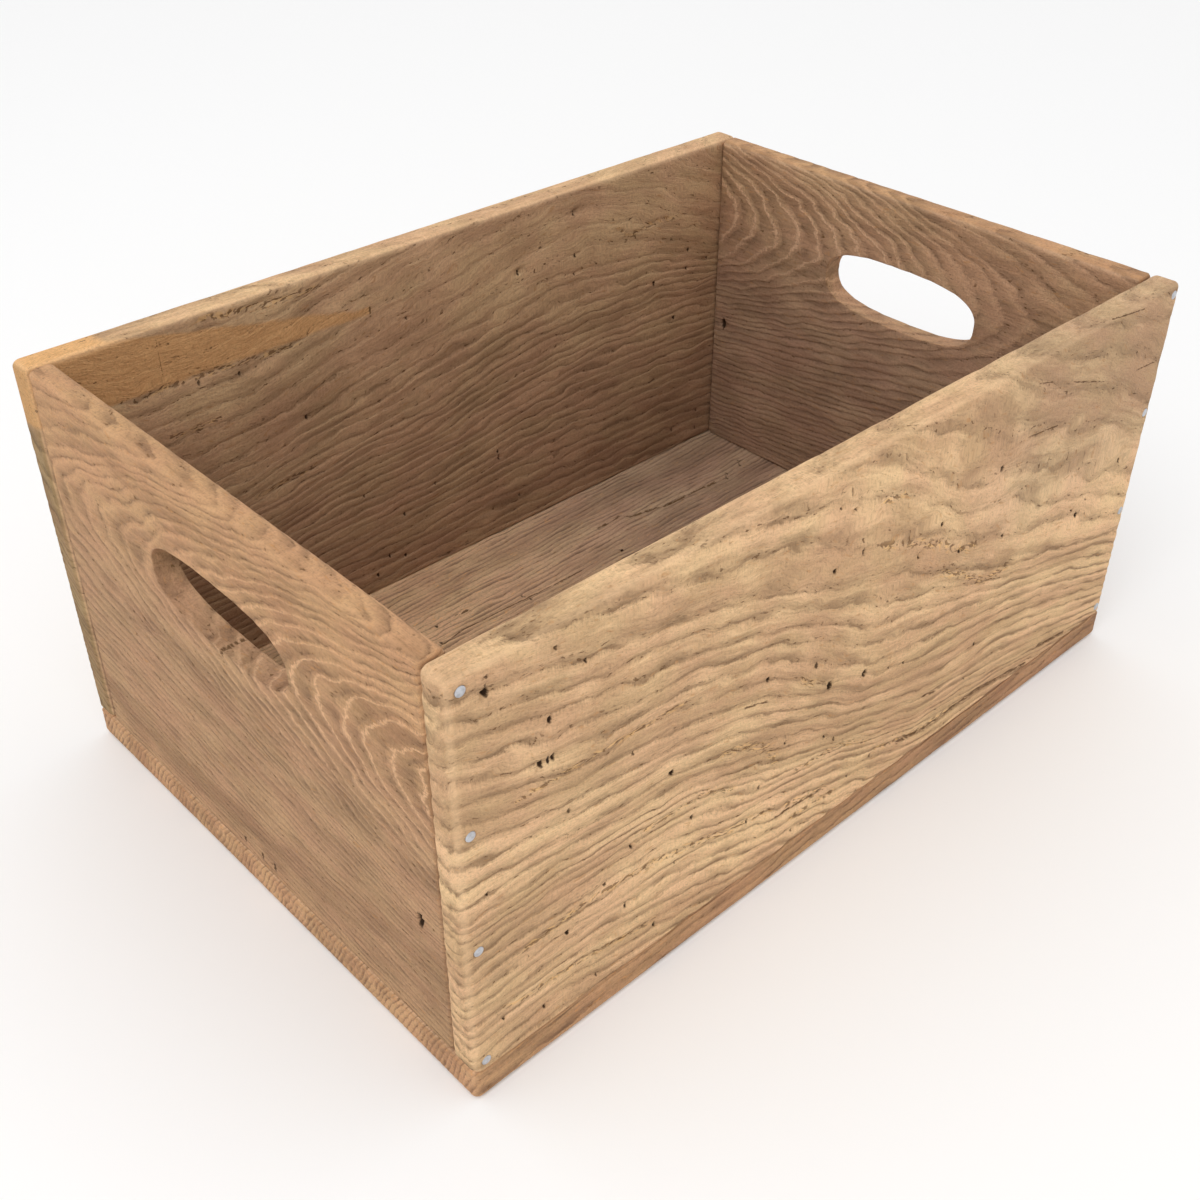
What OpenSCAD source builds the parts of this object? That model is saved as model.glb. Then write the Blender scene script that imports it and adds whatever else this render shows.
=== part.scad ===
// Open-topped nailed crate: two long side boards cover the ends of two end boards, each end board
// has a through hand slot, and one bottom board lies under all four walls.
// +X runs along the side boards, -Y is the front, +Z is up.
// The origin is the centre of the underside.

/* [Crate] */
// Overall length, along the side boards
crate_length = 500; // [420:1:600]
// Overall width, over the side boards' outer faces
crate_width = 339; // [290:1:400]
// Overall height, from the underside to the rim
crate_height = 236.5; // [225:0.5:300]

/* [Boards] */
// Thickness of the two side boards
side_thickness = 16.5; // [13:0.5:20]
// Thickness of the two end boards
end_thickness = 13.6; // [11:0.1:18]
// Thickness of the bottom board
bottom_thickness = 17.7; // [15:0.1:19]
// How far the end boards' outer faces stand back from the side boards' ends
end_setback = 1.5; // [0:0.1:3]
// Radius of the softened edges of every board
edge_radius = 3.8; // [1:0.1:4.5]

/* [Hand slots] */
// Length of the left slot, across the end board
left_slot_length = 111; // [90:1:140]
// Height of the left slot
left_slot_height = 37.2; // [30:0.1:48]
// Length of the right slot, across the end board
right_slot_length = 113; // [90:1:140]
// Height of the right slot
right_slot_height = 39.6; // [30:0.1:48]
// Height of both slots' lower edge above the underside
slot_lower_edge = 153.9; // [110:0.1:165]
// Squareness of the slots' outline: 2 is an ellipse, more is closer to a rectangle
slot_squareness = 2.8; // [2:0.1:6]

/* [Nails] */
// Diameter of the nail wire
nail_wire = 2.6; // [1.8:0.1:3.2]
// Length of a nail, head and point included
nail_length = 50; // [35:1:60]
// Diameter of a nail's flat head
nail_head = 5; // [4:0.1:6]
// Thickness of a nail's head
nail_head_thickness = 1; // [0.6:0.1:1.4]
// Length of the cone at a nail's point
nail_point = 4; // [2:0.5:6]
// How far the heads are driven below the wood's surface
nail_recess = 0.3; // [0.1:0.1:0.8]
// Distance from the side boards' left ends to the corner nails there
left_nail_inset = 7.4; // [6.5:0.1:9]
// Distance from the side boards' right ends to the corner nails there
right_nail_inset = 6; // [5.5:0.1:9]
// Lowest corner nail's height above the bottom board
lowest_nail_rise = 5.7; // [4:0.1:8]
// Highest corner nail's depth below the rim
highest_nail_drop = 6.8; // [5:0.1:10]
// Spacing of the nails that hold the bottom board to a side board
bottom_side_pitch = 90; // [50:1:100]
// Spacing of the nails that hold the bottom board to an end board
bottom_end_pitch = 80; // [50:1:85]

/* [Hidden] */
BOARD_WOOD = [0.72, 0.55, 0.37];
END_WOOD = [0.63, 0.47, 0.35];
BOTTOM_WOOD = [0.56, 0.42, 0.32];
NAIL_STEEL = [0.76, 0.77, 0.8];

$fn = 48;
slot_points = 64;
tip_diameter = 0.4;
// Extra reach of a cutting shape past the surface it opens
reach = 1;

wall_height = crate_height - bottom_thickness;
end_board_length = crate_width - 2 * side_thickness;
end_outer_x = crate_length / 2 - end_setback;
side_centre_y = crate_width / 2 - side_thickness / 2;
end_centre_x = end_outer_x - end_thickness / 2;

// Four heights for the corner nails: the outer two from the edges, the inner two near the thirds
lowest_nail_z = bottom_thickness + lowest_nail_rise;
highest_nail_z = crate_height - highest_nail_drop;
nail_rise = highest_nail_z - lowest_nail_z;
corner_nail_heights = [
    lowest_nail_z,
    lowest_nail_z + 0.34 * nail_rise,
    lowest_nail_z + 0.656 * nail_rise,
    highest_nail_z
];
bottom_side_steps = [-2, -1, 0, 1, 2];
bottom_end_steps = [-1, 0, 1];

// A nail is [name, board it passes through, board it holds, point under its head, turn from +Z]
function corner_nail(side, end, row) =
    let (
        y_sign = side == "front" ? -1 : 1,
        x_sign = end == "left" ? -1 : 1,
        inset = end == "left" ? left_nail_inset : right_nail_inset
    )
    [
        str(side, "_", end, "_nail_", row + 1),
        str(side, "_side"),
        str(end, "_end"),
        [
            x_sign * (crate_length / 2 - inset),
            y_sign * (crate_width / 2 - nail_recess),
            corner_nail_heights[row]
        ],
        [y_sign * 90, 0, 0]
    ];

function bottom_side_nail(side, i) =
    let (y_sign = side == "front" ? -1 : 1)
    [
        str("bottom_", side, "_nail_", i + 1),
        "bottom_board",
        str(side, "_side"),
        [bottom_side_steps[i] * bottom_side_pitch, y_sign * side_centre_y, nail_recess],
        [0, 0, 0]
    ];

function bottom_end_nail(end, i) =
    let (x_sign = end == "left" ? -1 : 1)
    [
        str("bottom_", end, "_nail_", i + 1),
        "bottom_board",
        str(end, "_end"),
        [x_sign * end_centre_x, bottom_end_steps[i] * bottom_end_pitch, nail_recess],
        [0, 0, 0]
    ];

NAILS = concat(
    [for (side = ["front", "back"], end = ["left", "right"], row = [0 : 3]) corner_nail(side, end, row)],
    [for (side = ["front", "back"], i = [0 : 4]) bottom_side_nail(side, i)],
    [for (end = ["left", "right"], i = [0 : 2]) bottom_end_nail(end, i)]
);

module rounded_rectangle(width, height) {
    translate([edge_radius, 0]) square([width - 2 * edge_radius, height]);
    translate([0, edge_radius]) square([width, height - 2 * edge_radius]);
    for (x = [edge_radius, width - edge_radius], y = [edge_radius, height - edge_radius])
        translate([x, y]) circle(r = edge_radius);
}

// A board with every edge softened, as the solid shared by its three rounded outlines
module softened_board(size) {
    translate(-size / 2) intersection() {
        linear_extrude(size.z) rounded_rectangle(size.x, size.y);
        translate([0, size.y, 0]) rotate([90, 0, 0]) linear_extrude(size.y) rounded_rectangle(size.x, size.z);
        rotate([90, 0, 90]) linear_extrude(size.x) rounded_rectangle(size.y, size.z);
    }
}

module slot_outline(length, height) {
    power = 2 / slot_squareness;
    polygon([
        for (i = [0 : slot_points - 1])
            let (c = cos(360 * i / slot_points), s = sin(360 * i / slot_points))
            [
                length / 2 * sign(c) * pow(abs(c), power),
                height / 2 * sign(s) * pow(abs(s), power)
            ]
    ]);
}

// One nail, with the top of its head at the origin and its point along +Z
module nail_shape() {
    cylinder(d = nail_head, h = nail_head_thickness);
    cylinder(d = nail_wire, h = nail_length - nail_point);
    translate([0, 0, nail_length - nail_point])
        cylinder(d1 = nail_wire, d2 = tip_diameter, h = nail_point);
}

module place_nail(nail) {
    translate(nail[3]) rotate(nail[4]) children();
}

// A board with the holes of every nail that passes through it or ends in it
module nailed(board) {
    difference() {
        children();
        for (nail = NAILS)
            if (nail[1] == board || nail[2] == board)
                place_nail(nail) {
                    nail_shape();
                    translate([0, 0, -reach]) cylinder(d = nail_head, h = nail_head_thickness + reach);
                }
    }
}

module side_board() {
    translate([0, 0, bottom_thickness + wall_height / 2])
        softened_board([crate_length, side_thickness, wall_height]);
}

module end_board(slot_length, slot_height) {
    difference() {
        translate([0, 0, bottom_thickness + wall_height / 2])
            softened_board([end_thickness, end_board_length, wall_height]);
        translate([-end_thickness, 0, slot_lower_edge + slot_height / 2])
            rotate([90, 0, 90]) linear_extrude(2 * end_thickness) slot_outline(slot_length, slot_height);
    }
}

module front_side() {
    color(BOARD_WOOD) nailed("front_side") translate([0, -side_centre_y, 0]) side_board();
}

module back_side() {
    color(BOARD_WOOD) nailed("back_side") translate([0, side_centre_y, 0]) side_board();
}

module left_end() {
    color(END_WOOD) nailed("left_end")
        translate([-end_centre_x, 0, 0]) end_board(left_slot_length, left_slot_height);
}

module right_end() {
    color(END_WOOD) nailed("right_end")
        translate([end_centre_x, 0, 0]) end_board(right_slot_length, right_slot_height);
}

module bottom_board() {
    color(BOTTOM_WOOD) nailed("bottom_board") translate([0, 0, bottom_thickness / 2])
        softened_board([crate_length, crate_width, bottom_thickness]);
}

module driven_nail(nail) {
    color(NAIL_STEEL) place_nail(nail) nail_shape();
}

front_side();
back_side();
left_end();
right_end();
bottom_board();
for (nail = NAILS) driven_nail(nail);
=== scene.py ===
"""Looks of an open-topped, nailed wooden crate: old boards with raised grain, and steel nails.

Lengths are in millimetres until a point is written to a mesh, which is in metres.
Each board has its own coordinates: a along its grain, w across it and d into it from its show face.
"""

import math
from collections.abc import Callable
from dataclasses import dataclass

import bpy
import numpy as np
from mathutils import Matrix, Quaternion, Vector


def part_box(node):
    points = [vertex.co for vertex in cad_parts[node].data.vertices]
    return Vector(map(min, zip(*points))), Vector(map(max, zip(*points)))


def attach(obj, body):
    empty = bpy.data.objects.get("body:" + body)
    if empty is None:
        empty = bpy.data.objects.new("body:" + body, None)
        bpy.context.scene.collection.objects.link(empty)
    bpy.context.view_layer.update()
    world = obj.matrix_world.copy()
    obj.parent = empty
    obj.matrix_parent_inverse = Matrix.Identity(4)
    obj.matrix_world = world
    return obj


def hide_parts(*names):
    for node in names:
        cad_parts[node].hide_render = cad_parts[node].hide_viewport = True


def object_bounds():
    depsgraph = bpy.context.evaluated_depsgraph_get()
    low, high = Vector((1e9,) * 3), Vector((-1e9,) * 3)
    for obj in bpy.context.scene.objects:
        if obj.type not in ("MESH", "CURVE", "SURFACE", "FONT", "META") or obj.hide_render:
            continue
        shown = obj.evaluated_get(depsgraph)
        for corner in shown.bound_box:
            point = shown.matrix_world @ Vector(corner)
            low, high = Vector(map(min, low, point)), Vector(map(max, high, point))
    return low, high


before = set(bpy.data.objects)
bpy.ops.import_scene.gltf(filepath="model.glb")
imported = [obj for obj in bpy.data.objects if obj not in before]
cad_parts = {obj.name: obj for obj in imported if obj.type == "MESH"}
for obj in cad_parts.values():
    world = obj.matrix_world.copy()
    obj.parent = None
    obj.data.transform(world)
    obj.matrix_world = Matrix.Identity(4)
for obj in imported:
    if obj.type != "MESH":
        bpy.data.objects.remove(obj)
cad_low, cad_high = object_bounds()

MM = 0.001
X, Y, Z = range(3)
LOW, HIGH = 0, 1

# Camera: where it looks, from what side and how far away
CAMERA_AZIMUTH = -43.1
CAMERA_ELEVATION = 36.0
CAMERA_ROLL = 0.08
CAMERA_DISTANCE = 804.4
CAMERA_TARGET = (-28.7, -11.7, 79.7)
CAMERA_ANGLE = 45

# Softening of the boards' edges: how far it reaches from a free edge, an end, and an edge in a joint
FREE_EDGE = 3.8
END_EDGE = 5.0
JOINT_EDGE = 1.1
CORNER_REACH = 6.0
CORNER_LIFT = 2.2
CORNER_FADE = 14.0
EDGE_STEPS = 4
SIDE_STEP = (3.1, 1.14)
END_STEP = (1.9, 1.08)
BOTTOM_STEP = (2.7, 1.75)
THICKNESS_STEP = 2.6
# Gathering of the grid round a hole or a nail: reach, gap kept from the face's border, and power
HOLE_GATHER = (6.5, 0.3, 1.8)
NAIL_GATHER = (11, 0.2, 1.35)

# Nails
NAIL_HEAD_RADIUS = 2.5
NAIL_HEAD_THICKNESS = 1.0
NAIL_WIRE_RADIUS = 1.3
NAIL_POINT = 4.0
NAIL_SPAN = 3.3
NAIL_STEP = 0.5
POCKET_FLOOR_RADIUS = 2.62
POCKET_RIM_RADIUS = 2.98
POCKET_DEPTH = 0.95
POCKET_RIM_DEPTH = 0.12
POCKET_REACH = 4.5
POCKET_SNAP = 0.18
NAIL_SIDES = 32
NAIL_RIM = 0.35
NAIL_GRIPS = 6
NAIL_GRIP_START = 1.2
NAIL_GRIP_PITCH = 1.1
NAIL_GRIP_DEPTH = 0.12

# Hand slots: half length, half height and height of the centre
SLOTS = {"left_end": (55.5, 18.6, 172.5), "right_end": (56.5, 19.8, 173.7)}
SLOT_SQUARENESS = 2.8
SLOT_FILLET = 0.7
# How far the grid is bent round a slot, in half slots, and the steps round its fillet
SLOT_BEND = 1.75
FILLET_STEPS = 4


# ---------------------------------------------------------------- random values and small tools

def lattice_value(i, j, k, seed):
    """A repeatable random number from 0 to 1 for each whole-number point."""
    mixed = (i * 73856093) ^ (j * 19349663) ^ (k * 83492791) ^ (seed * 97531)
    mixed = (mixed & 0xFFFFFFFF) * 2654435761 & 0xFFFFFFFF
    mixed = ((mixed >> 15) ^ mixed) * 2246822519 & 0xFFFFFFFF
    mixed = (mixed >> 13) ^ mixed
    return (mixed & 0xFFFFFF) / 0xFFFFFF


def smooth_noise(x, y, z, seed):
    """Smooth random values from -1 to 1, with about one rise or fall a unit."""
    cells = [np.floor(v).astype(np.int64) for v in (x, y, z)]
    parts = [v - cell for v, cell in zip((x, y, z), cells)]
    eased = [part * part * (3 - 2 * part) for part in parts]
    total = 0.0
    for corner in range(8):
        steps = [(corner >> bit) & 1 for bit in range(3)]
        weight = 1.0
        for step, part in zip(steps, eased):
            weight = weight * (part if step else 1 - part)
        total = total + weight * lattice_value(*[c + s for c, s in zip(cells, steps)], seed)
    return 2 * total - 1


def cloud(a, w, d, sizes, seed, octaves=3):
    """Noise from -1 to 1 whose largest patches have the given sizes along a, w and d."""
    total = 0.0
    share = 1.0
    for octave in range(octaves):
        scale = 2 ** octave
        places = [v * scale / size + 17.3 * octave for v, size in zip((a, w, d), sizes)]
        total = total + share * smooth_noise(*places, seed + octave)
        share /= 2
    return total / 1.5


def ease(value, start, end):
    """0 up to start, 1 past end, and a smooth rise between them."""
    t = np.clip((value - start) / (end - start), 0, 1)
    return t * t * (3 - 2 * t)


def blurred(grid, spread):
    """The grid smoothed over spread cells, keeping its slope at the borders."""
    reach = 3 * spread
    kernel = np.exp(-0.5 * (np.arange(-reach, reach + 1) / spread) ** 2)
    kernel /= kernel.sum()
    for axis in (0, 1):
        margins = [(0, 0), (0, 0)]
        margins[axis] = (reach, reach)
        padded = np.pad(grid, margins, mode="reflect", reflect_type="odd")
        grid = np.apply_along_axis(np.convolve, axis, padded, kernel, mode="valid")
    return grid


def segment_distance(a, w, points):
    """Distance from each place (a, w) to the line through the points."""
    nearest = np.full(np.shape(a), 1e9)
    for (a0, w0), (a1, w1) in zip(points, points[1:]):
        run, rise = a1 - a0, w1 - w0
        share = np.clip(((a - a0) * run + (w - w0) * rise) / (run * run + rise * rise), 0, 1)
        nearest = np.minimum(nearest, np.hypot(a - a0 - share * run, w - w0 - share * rise))
    return nearest


class FlowMap:
    """A board's grain, from the places where a few flow lines cross the board at chosen stations."""

    A_STEP = 2.0
    MARGIN = 20
    BEYOND = 100
    SPREAD = 4

    def __init__(self, stations, lines, board):
        a = np.arange(0, board.size[X] + self.A_STEP, self.A_STEP)
        w = np.arange(-self.MARGIN, board.size[Z] + self.MARGIN + 1, 1.0)
        labels = np.array([label for label, _ in lines], float)
        places = np.array([np.interp(a, stations, line) for _, line in lines])
        labels = np.concatenate([[labels[0] - self.BEYOND], labels, [labels[-1] + self.BEYOND]])
        places = np.vstack([places[0] - self.BEYOND, places, places[-1] + self.BEYOND])
        self.grid = blurred(np.array([np.interp(w, column, labels) for column in places.T]), self.SPREAD)

    def label(self, a, w):
        """The flow line's label at each place, between lines too."""
        i = np.clip(a / self.A_STEP, 0, self.grid.shape[0] - 1.001)
        j = np.clip(w + self.MARGIN, 0, self.grid.shape[1] - 1.001)
        i0, j0 = i.astype(int), j.astype(int)
        s, t = i - i0, j - j0
        near = self.grid[i0, j0] * (1 - t) + self.grid[i0, j0 + 1] * t
        far = self.grid[i0 + 1, j0] * (1 - t) + self.grid[i0 + 1, j0 + 1] * t
        return near * (1 - s) + far * s


# ---------------------------------------------------------------- grain of each board

def ring_count(label, table):
    """How many growth rings lie before each label, from a table of (label, count)."""
    labels, counts = zip(*table)
    inside = np.interp(label, labels, counts)
    under = np.minimum(label - labels[0], 0) * (counts[1] - counts[0]) / (labels[1] - labels[0])
    over = np.maximum(label - labels[-1], 0) * (counts[-1] - counts[-2]) / (labels[-1] - labels[-2])
    return inside + under + over


def waves(a, w, d, seed):
    """The small bends of a flow line, in millimetres."""
    slow = 3.4 * cloud(a, w, d, (55, 20, 20), seed)
    quick = 2.4 * cloud(a, w, d, (16, 6.5, 9), seed + 20)
    return slow + quick


FRONT_STATIONS = (0, 60, 125, 185, 250, 310, 375, 440, 500)
FRONT_FLOW = (
    (-60, (-60, -52, -46, -38, -28, -15, 22, 45, 78)),
    (-42, (-42, -34, -28, -22, -12, 23, 45, 63, 96)),
    (-30, (-30, -20, -14, -8, 12, 48, 67, 99, 122)),
    (-20, (-20, -9, -2, 10, 28, 62, 86, 112, 134)),
    (-8, (-8, 2, 16, 27, 57, 80, 103, 125, 147)),
    (10, (10, 24, 34, 52, 78, 98, 127, 142, 163)),
    (58, (58, 75.5, 82, 100, 138, 153, 158, 174, 194)),
    (143, (143, 142, 144.5, 167, 184, 205, 210, 219, 232)),
    (200, (200, 200, 212, 228, 243, 252, 258, 265, 275)),
)
FRONT_RINGS = (
    (-60, 0), (-42, 1), (-30, 2), (-20, 3), (-8, 4), (10, 5), (58, 10),
    (72, 11.2), (107, 14.2), (121, 15.7), (143, 19.6), (200, 28), (260, 36),
)
# How far each line sags in the middle of the board's thickness
FRONT_SAG = 3.5
# A knot just past the board's right end: its place (a, w) and its reach
FRONT_KNOT = (505, 20)
FRONT_KNOT_REACH = 45


def front_grain(a, w, d):
    sag = FRONT_SAG * (1 - (2 * d / SIDE_THICKNESS - 1) ** 2)
    label = FRONT_MAP.label(a, w - sag) + waves(a, w, d, 3)
    knot_a, knot_w = FRONT_KNOT
    knot = np.exp(-((a - knot_a) ** 2 + (w - knot_w) ** 2) / FRONT_KNOT_REACH ** 2)
    return label, ring_count(label, FRONT_RINGS) + knot


BACK_STATIONS = (0, 60, 120, 180, 240, 300, 360, 420, 500)
BACK_FLOW = (
    (10, (48, 56, 52, 36, 20, 8, 2, 16, 48)),
    (30, (72, 78, 73, 60, 43, 30, 23, 36, 66)),
    (50, (96, 100, 94, 81, 66, 54, 48, 57, 80)),
    (75, (120, 120, 115, 104, 99, 84, 78, 82, 92)),
    (100, (138, 138, 134, 124, 121, 108, 102, 102, 108)),
    (130, (160, 158, 155, 148, 145, 135, 131, 131, 134)),
    (165, (182, 182, 180, 176, 172, 167, 165, 166, 169)),
    (200, (206, 206, 204, 203, 201, 200, 200, 202, 206)),
)
BACK_RINGS = ((0, 0), (50, 4.5), (75, 8), (130, 16.5), (165, 21.5), (230, 30))


def back_grain(a, w, d):
    label = BACK_MAP.label(a, w + 0.7 * (BOARDS["back_side"].size[Y] - d)) + waves(a, w, d, 41)
    return label, ring_count(label, BACK_RINGS)


CATHEDRAL_CURVE = 25.0
END_RINGS = ((-900, 0), (-300, 14), (0, 23), (330, 42))


def cathedral(u, w, d, tip_height, seed):
    """Nested parabolas: growth rings on a board cut beside the heart of the tree."""
    u = u + 11 * cloud(u, w, d, (60, 22, 15), seed) + 4 * cloud(u, w, d, (14, 7, 9), seed + 9) + 0.9 * d
    w = w + 2.6 * cloud(u, w, d, (75, 30, 15), seed + 5) + 1.6 * cloud(u, w, d, (16, 9, 9), seed + 7)
    return ring_count(u - (w - tip_height) ** 2 / CATHEDRAL_CURVE, END_RINGS)


def left_grain(a, w, d):
    return w + waves(a, w, d, 61), cathedral(a + SIDE_THICKNESS, w, d, 64, 63)


def right_grain(a, w, d):
    inward = BOARDS["right_end"].size[X] - d
    return w + waves(a, w, d, 81), cathedral(250 - a, w, inward, 50, 83)


def bottom_grain(a, w, d):
    label = w + 0.6 * waves(a, w, d, 91) + 0.02 * a
    heart = np.hypot((w - 150) * 0.25, d + 55)
    return label, label / 3.6 + heart / 6


def put_in_scene(name, data):
    """A new object in the scene, with the given mesh, light or camera."""
    made = bpy.data.objects.new(name, data)
    bpy.context.scene.collection.objects.link(made)
    return made


# ---------------------------------------------------------------- boards and their surfaces

class Board:
    """One board: its CAD node's box, and which of X, Y and Z its own coordinates follow."""

    def __init__(self, node, along, across, depth):
        low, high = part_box(node)
        self.node = node
        self.low = np.array(low) / MM
        self.high = np.array(high) / MM
        self.size = self.high - self.low
        self.directions = (along, across, depth)

    def own(self, points):
        """a, w and d of the points. A direction is (axis, side that it is measured from)."""
        found = []
        for axis, side in self.directions:
            if side == LOW:
                found.append(points[:, axis] - self.low[axis])
            else:
                found.append(self.high[axis] - points[:, axis])
        return found


BOARDS = {
    "front_side": Board("front_side", (X, LOW), (Z, HIGH), (Y, LOW)),
    "back_side": Board("back_side", (X, LOW), (Z, HIGH), (Y, HIGH)),
    "left_end": Board("left_end", (Y, HIGH), (Z, HIGH), (X, LOW)),
    "right_end": Board("right_end", (Y, HIGH), (Z, HIGH), (X, HIGH)),
    "bottom_board": Board("bottom_board", (X, LOW), (Y, HIGH), (Z, HIGH)),
}
SIDE_THICKNESS = BOARDS["front_side"].size[Y]
FRONT_MAP = FlowMap(FRONT_STATIONS, FRONT_FLOW, BOARDS["front_side"])
BACK_MAP = FlowMap(BACK_STATIONS, BACK_FLOW, BOARDS["back_side"])


def grid_places(stops, last):
    """Places of grid lines: each stop is (place, spacing up to the next one)."""
    places = []
    for (start, step), (end, _) in zip(stops, stops[1:] + [(last, 0)]):
        count = max(1, round((end - start) / step))
        places.extend(np.linspace(start, end, count, endpoint=False))
    return np.array(places + [last])


def axis_lines(places):
    """Core place and lean of each grid line of an axis: lean goes to -1 and 1 round the edges."""
    lean = np.tan(np.linspace(0, math.pi / 4, EDGE_STEPS + 1))[1:]
    cores = np.concatenate([np.full(EDGE_STEPS, places[0]), places, np.full(EDGE_STEPS, places[-1])])
    leans = np.concatenate([-lean[::-1], np.zeros(len(places)), lean])
    return cores, leans


class Shell:
    """The surface of a softened board, as points on a grid and the quads between them."""

    def __init__(self, board, soft, stops):
        """soft holds (low, high) softening for each axis, stops the grid's stops for each axis."""
        self.board = board
        lines = []
        for axis in (X, Y, Z):
            last = board.high[axis] - soft[axis][HIGH]
            lines.append(axis_lines(grid_places(stops[axis], last)))
        counts = [len(cores) for cores, _ in lines]
        outside = np.zeros(counts, bool)
        for axis in (X, Y, Z):
            np.moveaxis(outside, axis, 0)[[0, -1]] = True
        grid = np.argwhere(outside)
        index = np.full(counts, -1)
        index[tuple(grid.T)] = np.arange(len(grid))
        self.leans = np.stack([lines[axis][1][grid[:, axis]] for axis in (X, Y, Z)], axis=1)
        cores = np.stack([lines[axis][0][grid[:, axis]] for axis in (X, Y, Z)], axis=1)
        radii = np.where(self.leans < 0, [s[LOW] for s in soft], [s[HIGH] for s in soft])
        way = self.leans / np.linalg.norm(self.leans, axis=1, keepdims=True)
        self.points = cores + radii * way
        normals = way / radii
        self.normals = normals / np.linalg.norm(normals, axis=1, keepdims=True)
        self.quads = np.concatenate([side_quads(index, axis, side) for axis in (X, Y, Z) for side in (0, -1)])
        self.in_slot = np.zeros(len(self.points))

    def lean_to(self, axis, side):
        """How far each point leans to that side of the axis: 1 on its face, -1 on the face opposite."""
        return self.leans[:, axis] * (-1 if side == LOW else 1)

    def flat_on(self, axis, side):
        """Which points lie on the flat of the face at that side of the axis."""
        flat = self.lean_to(axis, side) == 1
        for other in {X, Y, Z} - {axis}:
            flat &= self.leans[:, other] == 0
        return flat

    def edge_wear(self):
        """1 on the softened edges and 0 on the flats."""
        return ease(np.sort(np.abs(self.leans), axis=1)[:, 1], 0.0, 0.8)

    def facing(self, axis, side):
        """1 where the surface faces that side of the axis, falling to 0 round the edges."""
        others = [other for other in (X, Y, Z) if other != axis]
        return ease(self.lean_to(axis, side) - np.abs(self.leans[:, others]).max(axis=1), -0.2, 0.4)

    def lift_corners(self, along):
        """Rounds the board's two lower corners: their underside rises towards the ends."""
        places = self.points[:, along]
        from_end = np.minimum(places - self.board.low[along], self.board.high[along] - places)
        rise = self.points[:, Z] - self.board.low[Z]
        near_end = np.clip(1 - from_end / CORNER_REACH, 0, 1) ** 2
        self.points[:, Z] += CORNER_LIFT * near_end * (1 - ease(rise, 0, CORNER_FADE))


def side_quads(index, axis, side):
    """The quads of one side of the grid, all facing out."""
    face = np.take(index, side, axis)
    quads = np.stack([face[:-1, :-1], face[1:, :-1], face[1:, 1:], face[:-1, 1:]], axis=-1).reshape(-1, 4)
    faces_in = (side == 0) != (axis == Y)
    return quads[:, ::-1] if faces_in else quads


def gather_round(places, centre, reach, power):
    """Moves grid points towards a centre, so that a small hole there has enough of them."""
    offsets = places - centre
    distance = np.hypot(*offsets.T)
    near = np.nonzero(distance < reach)[0]
    if len(near) == 0:
        return places
    nearest = near[np.argmin(distance[near])]
    shift = centre - places[nearest]
    moved = places.copy()
    moved[near] += shift * (1 - ease(distance[near], 0, reach))[:, None]
    offsets = moved[near] - centre
    distance = np.maximum(np.hypot(*offsets.T), 1e-6)
    share = np.minimum(distance / reach, 1)
    moved[near] = centre + offsets * (share ** (power - 1))[:, None]
    return moved


def gather_face(shell, face, axes, centre, reach, gap, power):
    """Gathers a face's grid points round a centre, from within reach and a gap short of its border."""
    cells = np.ix_(face, axes)
    places = shell.points[cells]
    room = min(np.abs(places.min(0) - centre).min(), np.abs(places.max(0) - centre).min())
    shell.points[cells] = gather_round(places, centre, min(reach, room - gap), power)


# ---------------------------------------------------------------- marks on the boards

# Worm holes and nail holes: (a, w, radius, depth)
FRONT_HOLES = (
    (18.3, 13.3, 1.5, 4), (19, 6.3, 0.8, 1.5), (52, 10.8, 0.9, 1.5), (67, 25, 0.9, 2), (48, 43.5, 1.3, 2),
    (43, 63, 1.4, 2.5), (49.5, 63, 1.4, 2), (93, 88, 0.9, 1.5), (117, 114, 1.3, 2.5), (57, 97, 1.0, 1.5),
    (13.5, 113.5, 0.9, 2), (178, 96, 1.2, 2), (219, 56, 1.2, 3), (239, 54.5, 1.4, 2), (218, 22, 0.8, 1.5),
    (229, 27, 0.8, 1.5), (348.5, 55, 1.4, 1.5), (302, 67.5, 1.1, 2), (285, 78, 1.4, 2.5),
    (322, 92, 1.3, 2), (362, 101, 1.0, 1.5), (475.5, 101, 1.2, 2), (446, 114, 0.9, 1.5),
    (433, 116, 0.9, 2), (93, 142, 1.3, 3), (55, 168.5, 1.1, 2), (90, 177.5, 1.4, 2.5), (41, 206, 1.1, 2.5),
    (18, 194, 0.9, 2), (225, 126, 1.9, 4), (253, 133.5, 1.6, 4), (178, 162, 1.0, 1.5), (171, 180, 1.1, 2),
    (131.5, 150.5, 1.1, 2), (195, 144, 1.0, 1.5), (226, 158.5, 1.0, 2), (234, 165, 1.0, 1.5),
    (207, 210, 0.9, 1.5), (72, 210, 0.9, 1.5), (109, 205, 1.2, 2), (354.5, 168.5, 1.1, 2),
    (439, 122, 1.2, 2), (287, 145, 0.9, 1.5), (274, 141, 0.9, 1.5), (213, 107, 1.2, 1.5),
    (77, 154.5, 1.0, 1.5), (250, 200, 0.9, 1.5), (350, 190, 0.9, 1.5), (268, 197, 1.0, 1.2),
    (121, 172, 0.8, 1.2),
)
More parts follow.
